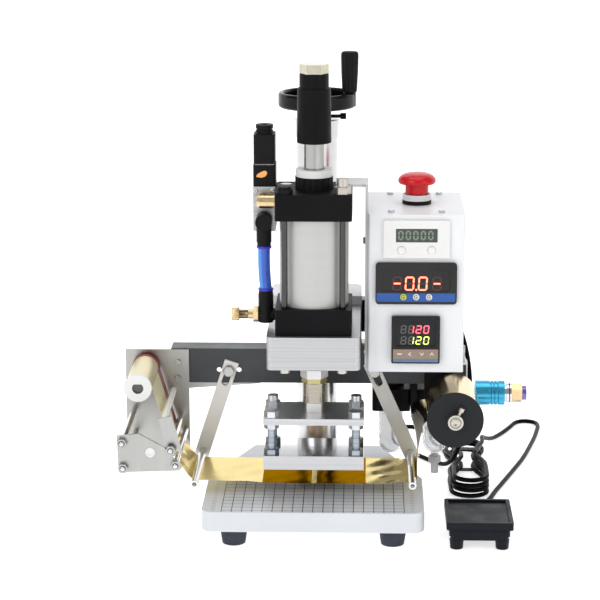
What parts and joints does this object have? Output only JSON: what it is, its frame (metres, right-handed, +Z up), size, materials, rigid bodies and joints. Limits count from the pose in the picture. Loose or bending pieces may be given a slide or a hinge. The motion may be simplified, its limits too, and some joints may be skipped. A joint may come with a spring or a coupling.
{
  "type": "hot foil stamping machine",
  "caption": "Pneumatic bench press on a column that stamps foil onto work on its table, with a heated plate, foil unwinder and take-up, control box and corded foot pedal.",
  "frame": {"origin": "on the floor under the middle of the machine's bounding box, the cord left out", "axes": "+X to the operator's right, +Y to the back, towards the column, +Z up"},
  "size_m": [0.4536, 0.4465, 0.472],
  "materials": {
    "silver_paint": "satin silver paint",
    "white_paint": "satin white paint",
    "black_paint": "black anodised",
    "dark_grey_paint": "satin dark grey paint",
    "aluminium": "milled",
    "sheet_steel": "zinc-plated sheet",
    "steel": "nickel plated",
    "chrome": "hard chrome",
    "brass": "turned",
    "gold_foil": "mirror gold foil",
    "rubber": "moulded",
    "cord": "soft black sheath",
    "black_matte": "moulded",
    "black_gloss": "polished",
    "pedal_grey": "moulded, fine grain",
    "white_plastic": "moulded",
    "yellow_plastic": "moulded",
    "red_plastic": "moulded",
    "blue_hose": "extruded tube",
    "blue_anodised": "blue anodised",
    "clear_plastic": "clear moulded bowl"
  },
  "bodies": {
    "base": {"base_plate": "silver_paint", "rubber_feet": "rubber", "column": "chrome", "pedal_base": "pedal_grey", "cord_lead": "cord", "cord_hank": "cord", "cord_tie": "cord", "cord_loop": "cord"},
    "wheel": {"handwheel": "black_gloss", "leadscrew": "steel"},
    "grip": {"crank_grip": "black_gloss"},
    "lock": {"lock_screw": "black_matte"},
    "head": {"head_block": "aluminium", "column_clamp": "white_paint", "lift_nut": "brass", "cylinder_caps": "black_paint", "barrel": "aluminium", "head_fasteners": "steel", "adjuster_boss": "black_matte", "valve_body": "aluminium", "valve_coil": "black_matte", "brass_fittings": "brass", "plastic_fittings": "black_matte", "air_hose": "blue_hose", "cross_bar": "dark_grey_paint", "head_brackets": "sheet_steel", "control_box": "white_paint", "counter": "white_plastic", "timer": "black_gloss", "temp_controller": "black_matte", "estop_base": "black_matte", "foil_plates": "sheet_steel", "foil_rods": "chrome", "foil_web": "gold_foil", "reel_motor": "sheet_steel", "air_bodies": "black_matte", "air_bowls": "clear_plastic", "slide_valve": "steel"},
    "needle": {"needle_knob": "brass"},
    "counter_left": {"counter_key_left": "white_plastic"},
    "counter_right": {"counter_key_right": "white_plastic"},
    "timer_left": {"timer_key_left": "yellow_plastic"},
    "timer_mid": {"timer_key_mid": "white_plastic"},
    "timer_right": {"timer_key_right": "white_plastic"},
    "estop_plunger": {"estop_stem": "black_matte"},
    "estop_button": {"estop_head": "red_plastic"},
    "supply": {"supply_spindle": "white_plastic", "foil_roll": "gold_foil"},
    "takeup": {"reel_spindle": "steel", "reel_disc": "black_gloss", "reel_foil": "gold_foil"},
    "regulator": {"regulator_knob": "black_matte"},
    "air_switch": {"valve_sleeve": "blue_anodised"},
    "ram": {"piston_rod": "chrome", "adjuster_sleeve": "black_gloss", "ram_fasteners": "steel", "coupler": "steel", "upper_plate": "aluminium", "heater_plate": "aluminium"},
    "pedal": {"treadle": "pedal_grey"}
  },
  "joints": [
    {"name": "wheel_turn", "type": "hinge", "parent": "base", "child": "wheel", "pos_m": [-0.01185, 0.0775, 0.41], "axis": [0, 0, 1], "range_deg": [-4051, 271]},
    {"name": "head_lift", "type": "slide", "parent": "base", "child": "head", "axis": [0, 0, 1], "range_m": [-0.003, 0.045], "deforming": ["cord_lead"]},
    {"name": "grip_spin", "type": "hinge", "parent": "wheel", "child": "grip", "pos_m": [0.02163, 0.0716, 0.45], "axis": [0, 0, 1], "continuous": true},
    {"name": "lock_turn", "type": "hinge", "parent": "base", "child": "lock", "pos_m": [0, 0.0775, 0.403], "axis": [1, 0, 0], "range_deg": [-180, 180]},
    {"name": "ram_slide", "type": "slide", "parent": "head", "child": "ram", "axis": [0, 0, -1], "range_m": [0, 0.0255], "deforming": ["foil_web"]},
    {"name": "takeup_spin", "type": "hinge", "parent": "head", "child": "takeup", "pos_m": [0.12885, 0, 0.12], "axis": [0, 1, 0], "continuous": true},
    {"name": "supply_spin", "type": "hinge", "parent": "head", "child": "supply", "pos_m": [-0.18725, 0, 0.1503], "axis": [0, 1, 0], "continuous": true},
    {"name": "needle_turn", "type": "hinge", "parent": "head", "child": "needle", "pos_m": [-0.08, -0.0465, 0.223], "axis": [1, 0, 0], "range_deg": [-360, 360]},
    {"name": "estop_press", "type": "slide", "parent": "head", "child": "estop_plunger", "axis": [0, 0, -1], "range_m": [0, 0.004], "stiffness_N_per_m": 1500},
    {"name": "estop_twist", "type": "hinge", "parent": "estop_plunger", "child": "estop_button", "pos_m": [0.09015, 0.0145, 0.35], "axis": [0, 0, -1], "range_deg": [0, 45], "stiffness_Nm_per_rad": 0.15},
    {"name": "counter_left_press", "type": "slide", "parent": "head", "child": "counter_left", "axis": [0, 1, 0], "range_m": [0, 0.0012], "stiffness_N_per_m": 800},
    {"name": "counter_right_press", "type": "slide", "parent": "head", "child": "counter_right", "axis": [0, 1, 0], "range_m": [0, 0.0012], "stiffness_N_per_m": 800},
    {"name": "timer_left_press", "type": "slide", "parent": "head", "child": "timer_left", "axis": [0, 1, 0], "range_m": [0, 0.0012], "stiffness_N_per_m": 800},
    {"name": "timer_mid_press", "type": "slide", "parent": "head", "child": "timer_mid", "axis": [0, 1, 0], "range_m": [0, 0.0012], "stiffness_N_per_m": 800},
    {"name": "timer_right_press", "type": "slide", "parent": "head", "child": "timer_right", "axis": [0, 1, 0], "range_m": [0, 0.0012], "stiffness_N_per_m": 800},
    {"name": "regulator_turn", "type": "hinge", "parent": "head", "child": "regulator", "pos_m": [0.06665, 0.0675, 0.13], "axis": [0, 0, 1], "range_deg": [-720, 720]},
    {"name": "sleeve_slide", "type": "slide", "parent": "head", "child": "air_switch", "axis": [-1, 0, 0], "range_m": [0, 0.008]},
    {"name": "treadle_press", "type": "hinge", "parent": "base", "child": "pedal", "pos_m": [0.15275, -0.0805, 0.016], "axis": [1, 0, 0], "range_deg": [0, 6], "stiffness_Nm_per_rad": 0.6}
  ],
  "couplings": [
    {"joint": "wheel_turn", "follows": "head_lift", "rad_per_m": -1570.8},
    {"joint": "supply_spin", "follows": "takeup_spin", "ratio": 1.9259}
  ]
}
